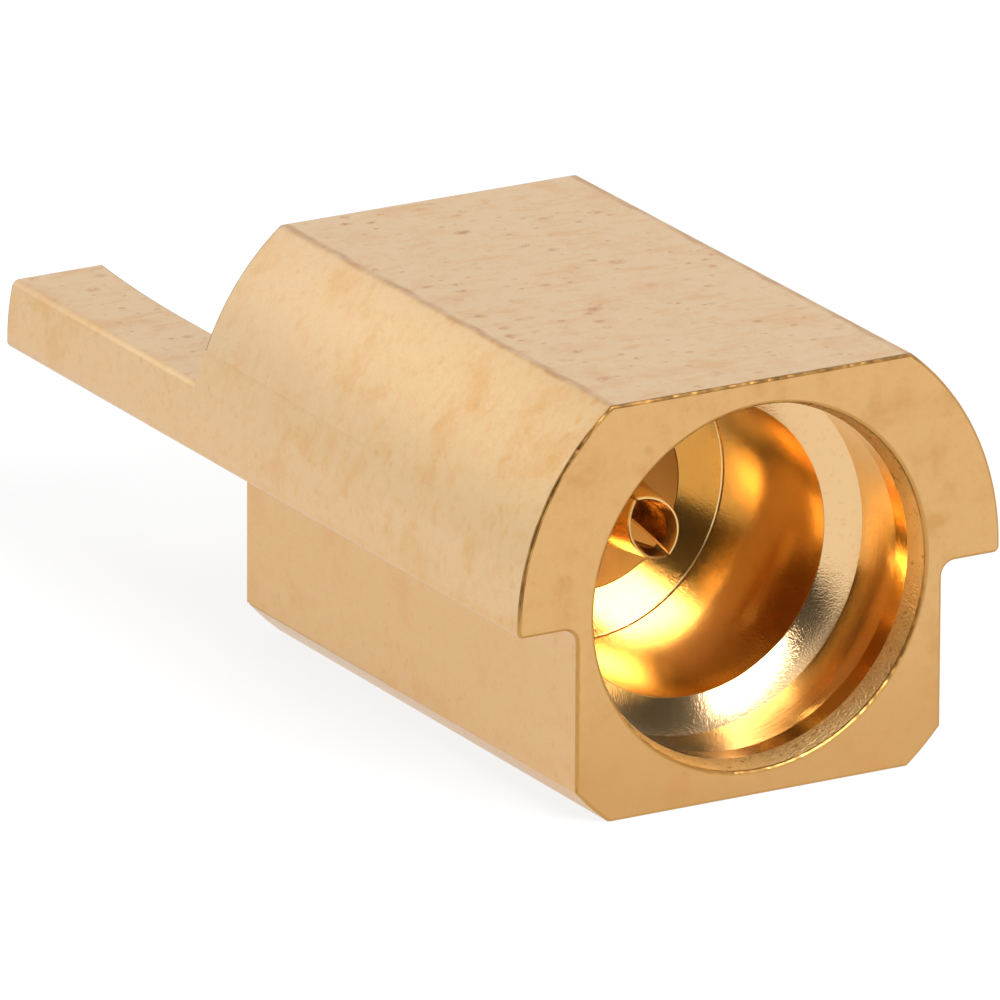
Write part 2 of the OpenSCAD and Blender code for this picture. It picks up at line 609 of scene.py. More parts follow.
@dataclass(frozen=True)
class SatinPlating:
    """Satin gold plating of the jack's outside, with stains, specks, pin-holes, milling marks and painted
    shade towards the bottom.

    Attributes:
        name: Name of the material.
        gold: Colour of the clean plating.
        low: Colour of the clean plating low on the jack, darker as painted shade.
        painted_shade_z: Heights in millimetres between which the one colour turns into the other, as painted
            shade towards the bottom.
        stain: Colour of the warm clouds and blots.
        speck: Colour of the specks on the milled flats.
        pit: Colour of the pin-holes.
        line: Colour of the line along the flats' edges.
        clouding: Share of the stain in the middle of a cloud.
        mottling: Share of the stain in the middle of a mottle.
        streaking: Share of the stain in the middle of a streak on the flats.
        blotting: Share of the stain in the middle of a blot.
        pitting: Share of the pin-holes' colour in their middle.
        lining: Share of the line's colour where the line is strongest.
        speck_sizes: Specks for each millimetre and the largest radius in cells, for each size of speck.
        roughness: Roughness of the clean plating.
        rough_spread: How far the grain lifts and lowers that roughness.
        coat: Weight of the pale film on the plating.
        coat_roughness: Roughness of that film.
        grain: Depth of the grain in millimetres.
        marks: Depth of the milling marks in millimetres.
        flat_x: Distance of the flats' edges from the middle plane in millimetres.
        flat_z: Height of the flats in millimetres.
        line_w: Half width of the line in millimetres.
    """

    name: str = "satin_plating"
    gold: Colour = (0.755, 0.505, 0.243)
    low: Colour = (0.715, 0.42, 0.150)
    painted_shade_z: tuple[float, float] = (0.6, -0.6)
    stain: Colour = (0.70, 0.355, 0.08)
    speck: Colour = (0.54, 0.20, 0.0)
    pit: Colour = (0.34, 0.15, 0.01)
    line: Colour = (0.46, 0.18, 0.0)
    clouding: float = 0.5
    mottling: float = 0.35
    streaking: float = 0.65
    blotting: float = 0.65
    pitting: float = 0.6
    lining: float = 0.75
    speck_sizes: tuple[tuple[float, float], ...] = ((3.2, 0.26), (5.2, 0.30), (8.5, 0.30))
    roughness: float = 0.42
    rough_spread: float = 0.06
    coat: float = 1.0
    coat_roughness: float = 0.42
    grain: float = 0.0009
    marks: float = 0.0022
    flat_x: float = 1.33
    flat_z: float = 1.705
    line_w: float = 0.055

    def build(self) -> bpy.types.Material:
        """Build the material.

        Returns:
            The material.
        """
        s = Shader(self.name)
        here = s.millimetres()
        level = self.on_flats(s)
        surface = s.surface(Metallic=1.0, Coat_Weight=self.coat, Coat_Roughness=self.coat_roughness)
        colour = self.specked(s, here, level, self.stained(s, here, level))
        colour = s.blend(s.times(self.edge_line(s, here), self.lining), colour, self.line)
        s.link(colour, surface.inputs["Base Color"])
        grain = s.noise(here, 40.0, 2, 0.5)
        spread = (self.roughness - self.rough_spread, self.roughness + self.rough_spread)
        s.link(s.ramp(grain, 0.3, 0.7, spread), surface.inputs["Roughness"])
        marks = s.noise(s.millimetres((0.7, 16.0, 2.0)), 1.0, 4, 0.6)
        marks = s.times(marks, s.ramp(level, 0.0, 1.0, (0.4, 1.0)))
        s.link(s.bump(marks, self.marks, s.bump(grain, self.grain)), surface.inputs["Normal"])
        return s.material

    def stained(self, s: Shader, here: Socket, level: Socket) -> Socket:
        """Clean plating with painted shade towards the bottom, clouds and a mottle all over and streaks on
        the flats.

        Args:
            s: The material's shader.
            here: Place in millimetres.
            level: Share of the surface that lies level.

        Returns:
            The colour's socket.
        """
        # Painted shade: the plating turns darker towards the bottom of the jack.
        colour = s.blend(s.ramp(s.split(here).outputs["Z"], *self.painted_shade_z), self.gold, self.low)
        clouds = s.ramp(s.noise(here, 2.1, 4, 0.6), 0.48, 0.70)
        colour = s.blend(s.times(clouds, self.clouding), colour, self.stain)
        mottle = s.ramp(s.noise(here, 8.0, 3, 0.6), 0.45, 0.75)
        colour = s.blend(s.times(mottle, self.mottling), colour, self.stain)
        streaks = s.ramp(s.noise(s.millimetres((1.6, 4.5, 3.0)), 1.6, 4, 0.6), 0.50, 0.72)
        return s.blend(s.times(s.times(streaks, level), self.streaking), colour, self.stain)

    def specked(self, s: Shader, here: Socket, level: Socket, colour: Socket) -> Socket:
        """Blots and pin-holes all over a colour, and specks that are strongest on the flats.

        Args:
            s: The material's shader.
            here: Place in millimetres.
            level: Share of the surface that lies level.
            colour: The colour under them.

        Returns:
            The colour's socket.
        """
        patches = s.ramp(s.noise(here, 1.1, 2, 0.5), 0.36, 0.58, (0.4, 1.0))
        blots = s.times(s.dots(here, 4.0, 0.26, 0.55), patches)
        colour = s.blend(s.times(blots, self.blotting), colour, self.stain)
        milled = s.millimetres((0.75, 1.0, 1.0))
        share = s.ramp(level, 0.0, 1.0, (0.25, 1.0))
        broken = s.times(share, s.ramp(s.noise(here, 26.0, 3, 0.6), 0.30, 0.60))
        for scale, radius in self.speck_sizes:
            dots = s.times(s.dots(milled, scale, radius, 0.85), patches)
            colour = s.blend(s.times(dots, broken), colour, self.speck)
        return s.blend(s.times(s.dots(here, 2.3, 0.085, 0.5), self.pitting), colour, self.pit)

    @staticmethod
    def on_flats(s: Shader) -> Socket:
        """Share of a surface that lies level, as the milled flats do.

        Args:
            s: The material's shader.

        Returns:
            A value socket from 0 to 1.
        """
        parts = s.split(s.node("ShaderNodeTexCoord").outputs["Normal"])
        return s.ramp(s.math("ABSOLUTE", parts.outputs["Z"]), 0.90, 0.98)

    def edge_line(self, s: Shader, here: Socket) -> Socket:
        """Wavy dark line that the cutter left along both edges of a flat.

        Args:
            s: The material's shader.
            here: Place in millimetres.

        Returns:
            Share of the line's colour.
        """
        parts = s.split(here)
        along = s.node("ShaderNodeCombineXYZ")
        s.link(parts.outputs["Y"], along.inputs["X"])
        wander = s.ramp(s.noise(along.outputs["Vector"], 2.6, 3, 0.5), 0.3, 0.7, (-0.012, 0.022))
        outward = s.math("SUBTRACT", s.math("ABSOLUTE", parts.outputs["X"]), self.flat_x)
        inward = s.times(outward, -1.0)
        off = s.math("ABSOLUTE", s.math("SUBTRACT", inward, wander))
        level = s.ramp(s.math("ABSOLUTE", parts.outputs["Z"]), self.flat_z - 0.03, self.flat_z - 0.01)
        strength = s.ramp(s.noise(along.outputs["Vector"], 1.7, 2, 0.5), 0.35, 0.6, (0.35, 1.0))
        return s.times(s.times(s.ramp(off, self.line_w, 0.0), level), strength)


@dataclass(frozen=True)
class TurnedPlating:
    """Bright gold plating over turning marks, as in the bore and on the contact.

    Attributes:
        name: Name of the material.
        gold: Colour of the plating.
        tarnish: Colour of its small darker grains.
        tarnished: Share of the tarnish in the middle of a grain.
        roughness: Roughness of the plating.
        rough_spread: Share by which the grain lifts and lowers that roughness.
        anisotropy: Stretch of the gloss across the turning marks.
        grain: Depth of the fine grain in millimetres.
        grains: Grains for each millimetre.
        drag: Length of a grain along the bore axis, over its width.
        marks: Depth of the turning marks in millimetres.
        turns: Turning marks for each millimetre.
    """

    name: str
    gold: Colour = (0.80, 0.53, 0.21)
    tarnish: Colour = (0.62, 0.35, 0.09)
    tarnished: float = 0.5
    roughness: float = 0.22
    rough_spread: float = 0.15
    anisotropy: float = 0.4
    grain: float = 0.0006
    grains: float = 46.0
    drag: float = 1.0
    marks: float = 0.0003
    turns: float = 22.0

    def build(self) -> bpy.types.Material:
        """Build the material.

        Returns:
            The material.
        """
        s = Shader(self.name)
        here = s.millimetres()
        parts = s.split(here)
        grain = s.noise(s.millimetres((1.0, 1 / self.drag, 1.0)), self.grains, 2, 0.5)
        surface = s.surface(Metallic=1.0, Anisotropic=self.anisotropy)
        tint = s.ramp(s.noise(here, 18.0, 3, 0.6), 0.55, 0.80, (0.0, self.tarnished))
        s.link(s.blend(tint, self.gold, self.tarnish), surface.inputs["Base Color"])
        spread = (self.roughness * (1 - self.rough_spread), self.roughness * (1 + self.rough_spread))
        s.link(s.ramp(grain, 0.3, 0.7, spread), surface.inputs["Roughness"])
        s.link(self.across_marks(s, parts), surface.inputs["Tangent"])
        marks = s.noise(self.ring_place(s, parts), self.turns, 3, 0.6)
        s.link(s.bump(marks, self.marks, s.bump(grain, self.grain)), surface.inputs["Normal"])
        return s.material

    @staticmethod
    def across_marks(s: Shader, parts: bpy.types.Node) -> Socket:
        """Direction across the turning marks, along which they spread the gloss.

        Args:
            s: The material's shader.
            parts: Node that separates the place in millimetres.

        Returns:
            A vector between the radius and the bore axis.
        """
        across = s.node("ShaderNodeCombineXYZ")
        s.link(parts.outputs["X"], across.inputs["X"])
        across.inputs["Y"].default_value = -1.0
        s.link(parts.outputs["Z"], across.inputs["Z"])
        unit = s.node("ShaderNodeVectorMath", operation="NORMALIZE")
        s.link(across.outputs["Vector"], unit.inputs[0])
        return unit.outputs["Vector"]

    @staticmethod
    def ring_place(s: Shader, parts: bpy.types.Node) -> Socket:
        """Place across the turning marks: depth on a wall, radius on a flat.

        Args:
            s: The material's shader.
            parts: Node that separates the place in millimetres.

        Returns:
            A vector that changes across the marks only.
        """
        ring = s.node("ShaderNodeCombineXYZ")
        s.link(s.math("ADD", s.axis_distance(parts), parts.outputs["Y"]), ring.inputs["X"])
        return ring.outputs["Vector"]


@dataclass(frozen=True)
class EdgePlating:
    """Plating along the machined edges with tiny burrs, darker than the plating; the dark is partly wear and
    partly painted dark reflection, strongest on the upper edges and on the left.

    Attributes:
        worn_and_shaded: Dark colour of the edge, partly wear and partly painted dark reflection.
        clean: Lighter colour of the edge, away from the wear and the painted dark reflection.
        roughness: Roughness of the edge.
        burr: Depth of the burrs in millimetres.
        burrs: Burrs for each millimetre.
        clean_x: Distance to the right of the middle plane past which the edges keep the lighter colour, in
            millimetres.
        fade_x: Width of the dark colour's end before that distance.
        clean_z: Height below which the edges keep the lighter colour, in millimetres.
        fade_z: Height of the dark colour's end above that height.
        mouth_r: Radius of the bore's mouth, where the edge keeps the lighter colour, in millimetres.
        mouth_fade: Distances past that radius between which the dark colour ends, from the outside.
    """

    worn_and_shaded: Colour = (0.27, 0.135, 0.04)
    clean: Colour = (0.54, 0.29, 0.085)
    roughness: float = 0.36
    burr: float = 0.014
    burrs: float = 12.0
    clean_x: float = 1.5
    fade_x: float = 0.2
    clean_z: float = 0.0
    fade_z: float = 0.3
    mouth_r: float = 1.5
    mouth_fade: tuple[float, float] = (0.10, 0.05)

    def build(self) -> bpy.types.Material:
        """Build the material.

        Returns:
            The material.
        """
        s = Shader("edge_plating")
        here = s.millimetres()
        parts = s.split(here)
        # Painted dark reflection and wear: noise breaks the dark colour, which shows on the upper edges, on
        # the left and away from the mouth.
        clean_share = s.ramp(s.noise(here, 3.0, 3, 0.6), 0.40, 0.66)
        for place, dark_at, clean_at in (
            (parts.outputs["X"], self.clean_x - self.fade_x, self.clean_x),
            (parts.outputs["Z"], self.clean_z + self.fade_z, self.clean_z),
            (s.axis_distance(parts), *(self.mouth_r + past for past in self.mouth_fade)),
        ):
            clean_share = s.math("MAXIMUM", clean_share, s.ramp(place, dark_at, clean_at))
        surface = s.surface(Metallic=1.0, Roughness=self.roughness)
        s.link(s.blend(clean_share, self.worn_and_shaded, self.clean), surface.inputs["Base Color"])
        cells = s.node("ShaderNodeTexVoronoi", feature="SMOOTH_F1")
        cells.inputs["Scale"].default_value = self.burrs
        s.link(here, cells.inputs["Vector"])
        s.link(s.bump(cells.outputs["Distance"], self.burr), surface.inputs["Normal"])
        return s.material


@dataclass(frozen=True)
class BeadPlastic:
    """Matte orange-brown plastic of the bead.

    Attributes:
        plastic: Colour of the plastic.
        shade: Colour of its darker clouds.
        roughness: Roughness of the plastic.
        grain: Depth of its grain in millimetres.
    """

    plastic: Colour = (0.53, 0.24, 0.034)
    shade: Colour = (0.46, 0.195, 0.025)
    roughness: float = 0.5
    grain: float = 0.002

    def build(self) -> bpy.types.Material:
        """Build the material.

        Returns:
            The material.
        """
        s = Shader("bead_plastic")
        here = s.millimetres()
        surface = s.surface(Roughness=self.roughness)
        s.link(s.blend(s.noise(here, 7.0, 4, 0.6), self.plastic, self.shade), surface.inputs["Base Color"])
        s.link(s.bump(s.noise(here, 40.0, 2, 0.5), self.grain), surface.inputs["Normal"])
        return s.material


@dataclass
class Bore:
    """Stepped mating bore: lead-in, entry land, snap groove, slanted shoulder, cavity and bead seat.

    Attributes:
        mouth_r: Radius at the mating face.
        entry_r: Radius of the entry land.
        entry_y: Depth where the lead-in meets the entry land.
        lip_y: Depth where the entry land ends and the snap groove's flank starts.
        groove_r: Radius at the end of that flank, where the groove meets the shoulder.
        groove_y: Depth of that radius.
        cavity_r: Radius of the cavity.
        cavity_y: Depth where the slanted shoulder meets the cavity.
        floor_y: Depth of the cavity's floor.
        seat_r: Radius of the bead's seat.
        steps: Number of corners of each ring.
        overrun: Length by which the cutter passes the front and rear faces.
        slack: How far past the mouth's radius or the floor a place still counts as in the bore.
        skin: Depth up to which a place counts as on the mating face.
    """

    mouth_r: float = 1.5
    entry_r: float = 1.45
    entry_y: float = 0.2
    lip_y: float = 0.385
    groove_r: float = 1.50
    groove_y: float = 0.975
    cavity_r: float = 1.215
    cavity_y: float = 1.08
    floor_y: float = 2.65
    seat_r: float = 0.81
    steps: int = 192
    overrun: float = 1.0
    slack: float = 0.01
    skin: float = 0.0005

    def cutter(self, end_y: float) -> Workpiece:
        """Turn the solid that is cut out of the body.

        Args:
            end_y: Depth of the rear face that the seat opens.

        Returns:
            The cutter.
        """
        profile = [
            (self.mouth_r, -self.overrun),
            (self.mouth_r, 0.0),
            (self.entry_r, self.entry_y),
            (self.entry_r, self.lip_y),
            (self.groove_r, self.groove_y),
            (self.cavity_r, self.cavity_y),
            (self.cavity_r, self.floor_y),
            (self.seat_r, self.floor_y),
            (self.seat_r, end_y + self.overrun),
        ]
        return Workpiece.turned("bore_cutter", profile, self.steps)

    def holds(self, place: Vector) -> bool:
        """Whether a place lies on the bore's own surface."""
        radius = math.hypot(place.x, place.z)
        return radius < self.mouth_r + self.slack and self.skin < place.y < self.floor_y + self.slack

    def zone(self, place: Vector) -> Zone:
        """Finish of a place in the bore.

        Args:
            place: A face's centre in millimetres.

        Returns:
            The material slot.
        """
        ends = {
            Zone.LEAD: self.entry_y,
            Zone.LAND: self.lip_y,
            Zone.GROOVE: self.groove_y,
            Zone.SHOULDER: self.cavity_y + 1e-3,
        }
        return next((zone for zone, end in ends.items() if place.y < end), Zone.CAVITY)


@dataclass
class JackBody:
    """Outer conductor: round bar with flats, board notches, two legs and the mating bore.

    Attributes:
        bar_r: Radius of the bar.
        flats_h: Height across the flats.
        flat_r: Rounding of the edges between the flats and the bar's round.
        body_l: Length of the body.
        leg_l: Length of the legs.
        lower_w: Width of the body below the wings.
        board_z: Height of the board plane, on which wings and legs sit.
        notch_r: Fillet between wing and lower body.
        notch_steps: Number of facets of that fillet.
        wing_r: Rounding of a wing's lower outer edge.
        leg_top: Height of the legs' top face.
        leg_gap: Gap between the legs.
        leg_r: Rounding of a leg's upper outer edge.
        flare_w: Inward flare of a leg at its tip.
        flare_l: Length of that flare.
        round_cross: Share of an edge rounding by which it reaches past the two faces that it joins.
        round_step: Length of a facet of an edge rounding.
        sharp: Angle in degrees between two faces past which their edge is rounded.
        edge_r: Rounding of the machined edges.
        edge_steps: Number of facets of that rounding.
        bore_edge_r: Rounding of the cavity's edge.
        floor_r: Fillet around the cavity's floor.
        ring_steps: Number of facets of those two.
        bore: The mating bore.
        steps: Number of corners of the bar.
        flare_steps: Number of corners of the round block that shapes a flare.
        overrun: Length by which cutters pass the faces.
        under_reach: Width by which the cut under the legs passes the lower body.
    """

    bar_r: float = 2.175
    flats_h: float = 3.41
    flat_r: float = 0.15
    body_l: float = 5.25
    leg_l: float = 3.05
    lower_w: float = 3.3
    board_z: float = -0.065
    notch_r: float = 0.12
    notch_steps: int = 10
    wing_r: float = 0.06
    leg_top: float = 0.5
    leg_gap: float = 2.77
    leg_r: float = 0.1
    flare_w: float = 0.1
    flare_l: float = 1.6
    round_cross: float = 1 / 25
    round_step: float = 0.01
    sharp: float = 28.0
    edge_r: float = 0.026
    edge_steps: int = 3
    bore_edge_r: float = 0.008
    floor_r: float = 0.016
    ring_steps: int = 2
    bore: Bore = field(default_factory=Bore)
    steps: int = 192
    flare_steps: int = 720
    overrun: float = 1.0
    under_reach: float = 0.3

    @property
    def total_l(self) -> float:
        """Length from the mating face to the tips of the legs."""
        return self.body_l + self.leg_l

    def build(self) -> bpy.types.Object:
        """Model the body and dress it.

        Returns:
            The finished object.
        """
        piece = Workpiece.turned("jack_body", [(self.bar_r, 0.0), (self.bar_r, self.total_l)], self.steps)
        piece.slice_off((0, 0, self.flats_h / 2), (0, 0, 1))
        piece.slice_off((0, 0, -self.flats_h / 2), (0, 0, -1))
        for side in (-1, 1):
            piece.cut(self.notch_cutter(side))
            for face_z in (self.flats_h / 2, -self.flats_h / 2):
                piece.cut(self.edge_cutter(side, face_z, self.flat_r, -self.overrun))
            piece.cut(self.edge_cutter(side, self.board_z, self.wing_r, -self.overrun))
        self.free_legs(piece)
        # A leg's rounding starts one facet behind the rear face, so the two never share a plane
        for side in (-1, 1):
            piece.cut(self.edge_cutter(side, self.leg_top, self.leg_r, self.body_l + self.round_step))
        piece.clean(self.round_step / 3)
        # A seam in the middle plane, so that no face of the front has to wrap around the bore
        piece.score((0, 0, 0), (1, 0, 0))
        piece.cut(self.bore.cutter(self.body_l))
        piece.clean()
        self.dress(piece)
        self.soften(piece)
        return piece.deliver("body", "body_plating")

    def notch_cutter(self, side: int) -> Workpiece:
        """Box of the board notch under one wing, with a rounded inner edge.

        Args:
            side: 1 for the right wing, -1 for the left.

        Returns:
            The cutter.
        """
        inner, outer = sorted((side * self.lower_w / 2, side * 2 * self.bar_r))
        low = (inner, -self.overrun, -2 * self.bar_r)
        high = (outer, self.total_l + self.overrun, self.board_z)
        cutter = Workpiece.box("notch_cutter", low, high)
        corner = Vector((side * self.lower_w / 2, self.board_z))
        cutter.round_edges(
            lambda a, b, _: all((Vector((p.x, p.z)) - corner).length < 1e-4 for p in (a, b)),
            self.notch_r,
            self.notch_steps,
        )
        return cutter

    def free_legs(self, piece: Workpiece) -> None:
        """Mill away what lies behind the rear face around the two legs.

        Args:
            piece: The body.
        """
        far = 2 * self.bar_r
        end = self.total_l + self.overrun
        under = self.lower_w / 2 + self.under_reach
        half = self.leg_gap / 2
        flare_y = self.total_l - self.flare_l
        piece.cut(Workpiece.box("top_cutter", (-far, self.body_l, self.leg_top), (far, end, far)))
        piece.cut(Workpiece.box("under_cutter", (-under, self.body_l, -far), (under, end, self.board_z)))
        piece.cut(Workpiece.box("gap_cutter", (-half, self.body_l, -far), (half, flare_y, far)))
        for side in (-1, 1):
            piece.cut(self.flare_cutter(side))

    def flare_cutter(self, side: int) -> Workpiece:
        """Half a round block whose arc shapes the inside of one leg's tip.

        Args:
            side: 1 for the right leg, -1 for the left.

        Returns:
            The cutter.
        """
        bend = (self.flare_l**2 + self.flare_w**2) / (2 * self.flare_w)
        start = self.total_l - self.flare_l
        deselect_everything()
        bpy.ops.mesh.primitive_cylinder_add(
            vertices=self.flare_steps,
            radius=bend,
            depth=4 * self.bar_r,
            location=(side * (self.leg_gap / 2 - bend), start, 0),
        )
        cutter = Workpiece(bpy.context.object)
        cutter.obj.name = "flare_cutter"
        bpy.ops.object.transform_apply(location=True, rotation=True, scale=True)
        cutter.slice_off((0, 0, 0), (-side, 0, 0))
        cutter.slice_off((0, start, 0), (0, -1, 0))
        return cutter

    def edge_cutter(self, side: int, face_z: float, radius: float, start_y: float) -> Workpiece:
        """What lies beyond a rounded edge between the bar's round and a level face.

        Args:
            side: 1 for the right side, -1 for the left.
            face_z: Height of the level face.
            radius: Radius of the rounding.
            start_y: Depth where the rounding starts.

        Returns:
            The cutter.
        """
        up = math.copysign(1, face_z)
        end = self.total_l + self.overrun
        far = 2 * self.bar_r
        sunk = radius * (1 - self.round_cross)
        round_z = face_z - up * sunk
        round_x = math.sqrt((self.bar_r - sunk) ** 2 - round_z**2)
        inner, outer = sorted((side * round_x, side * far))
        cutter = Workpiece.box("edge_cutter", (inner, start_y, -far), (outer, end, far))
        cutter.slice_off((side * round_x, 0, round_z), (side * up * round_z, 0, -up * round_x))
        steps = round(2 * math.pi * radius / self.round_step)
        ends = [(radius, start_y - self.overrun), (radius, end + self.overrun)]
        rod = Workpiece.turned("edge_rod", ends, steps)
        rod.shift((side * round_x, 0, round_z))
        cutter.cut(rod)
        return cutter

    def dress(self, piece: Workpiece) -> None:
        """Give the body its finishes, one for each zone.

        Args:
            piece: The body.
        """
        finishes = {
            Zone.OUTSIDE: SatinPlating(),
            Zone.FRONT: SatinPlating(
                "front_plating",
                gold=(0.645, 0.365, 0.122),
                # Painted shade: the front face turns darker towards the bottom.
                low=(0.575, 0.305, 0.085),
                painted_shade_z=(-0.2, -1.6),
                stain=(0.56, 0.28, 0.065),
                clouding=0.8,
            ),
            Zone.LEAD: TurnedPlating(
                "lead_plating",
                gold=(0.96, 0.74, 0.35),
                tarnish=(0.40, 0.22, 0.06),
                tarnished=1.0,
                roughness=0.40,
                anisotropy=0.1,
                grain=0.007,
            ),
            Zone.LAND: TurnedPlating("land_plating", roughness=0.13),
            Zone.GROOVE: TurnedPlating(
                "groove_plating", gold=(0.82, 0.57, 0.25), roughness=0.13, marks=0.0010
            ),
            Zone.SHOULDER: TurnedPlating(
                "shoulder_plating", gold=(0.80, 0.53, 0.27), roughness=0.15, grain=0.0012, grains=70
            ),
            Zone.CAVITY: TurnedPlating(
                "cavity_plating",
                gold=(0.79, 0.535, 0.225),
                roughness=0.15,
                grain=0.0010,
                grains=80,
                drag=3.0,
            ),
            Zone.EDGE: EdgePlating(),
        }
        piece.coat([finishes[zone] for zone in Zone])
        piece.assign(Zone.OUTSIDE, lambda centre, normal: True)
        piece.assign(Zone.FRONT, lambda centre, normal: centre.y < 1e-3 and normal.y < -0.99)
        for zone in (Zone.LEAD, Zone.LAND, Zone.GROOVE, Zone.SHOULDER, Zone.CAVITY):
            piece.assign(
                zone, lambda centre, normal: self.bore.holds(centre) and self.bore.zone(centre) == zone
            )

    def soften(self, piece: Workpiece) -> None:
        """Round the machined edges outside, the cavity's edge and the corner of its floor.

        The edges at the legs' roots stay sharp.

        Args:
            piece: The body.
        """
        sharp = math.radians(self.sharp)

        def inside(a: Vector, b: Vector) -> bool:
            """Whether both ends of an edge lie in the bore."""
            return self.bore.holds(a) and self.bore.holds(b)

        def at_leg_root(place: Vector) -> bool:
            """Whether a place lies where a leg leaves the rear face."""
            beside = abs(place.x) > self.lower_w / 2 and place.z < self.leg_top + 2 * self.leg_r
            return beside and abs(place.y - self.body_l) < self.edge_r

        def on_cavity_ring(place: Vector, depth: float) -> bool:
            """Whether a place lies on the cavity's wall at a depth."""
            radius = math.hypot(place.x, place.z)
            return abs(place.y - depth) < 1e-3 and abs(radius - self.bore.cavity_r) < 1e-2

        rings = ((self.bore.cavity_y, self.bore_edge_r), (self.bore.floor_y, self.floor_r))
        for depth, width in rings:
            piece.round_edges(
                lambda a, b, _: on_cavity_ring(a, depth) and on_cavity_ring(b, depth),
                width,
                self.ring_steps,
            )
        piece.round_edges(
            lambda a, b, angle: angle > sharp and not (inside(a, b) or at_leg_root(a) or at_leg_root(b)),
            self.edge_r,
            self.edge_steps,
            Zone.EDGE,
        )


@dataclass
class Bead:
    """Insulating bead between the cavity's floor and the rear face.

    Attributes:
        bead_r: Radius of the bead.
        hole_r: Radius of the contact's hole.
        front_y: Depth of the front face.
        rear_y: Depth of the rear face.
        sharp: Angle in degrees between two faces past which their edge is rounded.
        edge_r: Rounding of the edges.
        edge_steps: Number of facets of that rounding.
        steps: Number of corners of each ring.
        overrun: Length by which the hole's cutter passes both faces.
    """

    bead_r: float = 0.806
    hole_r: float = 0.24
    front_y: float = 2.65
    rear_y: float = 5.25
    sharp: float = 60.0
    edge_r: float = 0.006
    edge_steps: int = 2
    steps: int = 96
    overrun: float = 1.0

    def build(self) -> bpy.types.Object:
        """Model the bead and dress it.

        Returns:
            The finished object.
        """
        ends = [(self.bead_r, self.front_y), (self.bead_r, self.rear_y)]
        hole = [(self.hole_r, self.front_y - self.overrun), (self.hole_r, self.rear_y + self.overrun)]
        piece = Workpiece.turned("insulator_bead", ends, self.steps)
        piece.cut(Workpiece.turned("hole_cutter", hole, self.steps))
        piece.clean()
        sharp = math.radians(self.sharp)
        piece.round_edges(lambda a, b, angle: angle > sharp, self.edge_r, self.edge_steps)
        piece.coat([BeadPlastic()])
        return piece.deliver("insulator", "bead_plastic")


